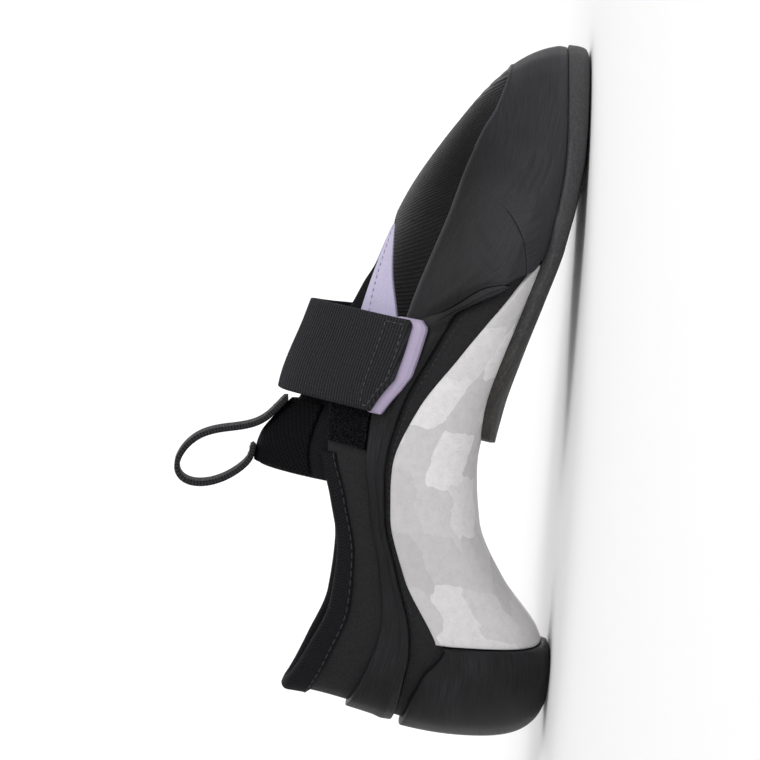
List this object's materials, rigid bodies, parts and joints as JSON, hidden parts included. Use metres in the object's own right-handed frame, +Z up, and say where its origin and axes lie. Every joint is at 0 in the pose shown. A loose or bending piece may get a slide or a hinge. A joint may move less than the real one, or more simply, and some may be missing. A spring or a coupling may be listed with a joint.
{
  "type": "climbing shoe",
  "caption": "Downturned right climbing shoe with rubber toe and sole, pale arch panel, lavender edging and a single strap.",
  "frame": {"origin": "middle of the flat spot under the heel, on the floor", "axes": "+X to the toe, +Y to the inner side of this right shoe, +Z up"},
  "size_m": [0.2285, 0.0748, 0.1277],
  "materials": {
    "black_microfibre": "matte",
    "black_knit": "matte",
    "rand_rubber": "satin",
    "sole_rubber": "matte",
    "grey_suede": "matte",
    "lavender_edging": "satin",
    "lavender_tab": "satin",
    "black_webbing": "matte",
    "insole_felt": "matte"
  },
  "bodies": {
    "root": {"upper": "black_microfibre", "outsole": "sole_rubber", "insole": "insole_felt", "tongue": "black_knit", "toe_rand": "rand_rubber", "outer_wing_rand": "rand_rubber", "inner_wing_rand": "rand_rubber", "toe_patch": "rand_rubber", "outer_patch_arm": "rand_rubber", "inner_patch_arm": "rand_rubber", "outer_throat_trim": "lavender_edging", "inner_throat_trim": "lavender_edging", "sling_rand": "rand_rubber", "heel_cup": "rand_rubber", "arch_panel": "grey_suede", "loop_patch": "black_webbing", "collar_binding": "black_knit", "elastic_band": "black_knit", "strap_tab": "lavender_tab", "strap": "black_webbing", "front_pull_loop": "black_webbing"}
  },
  "joints": []
}
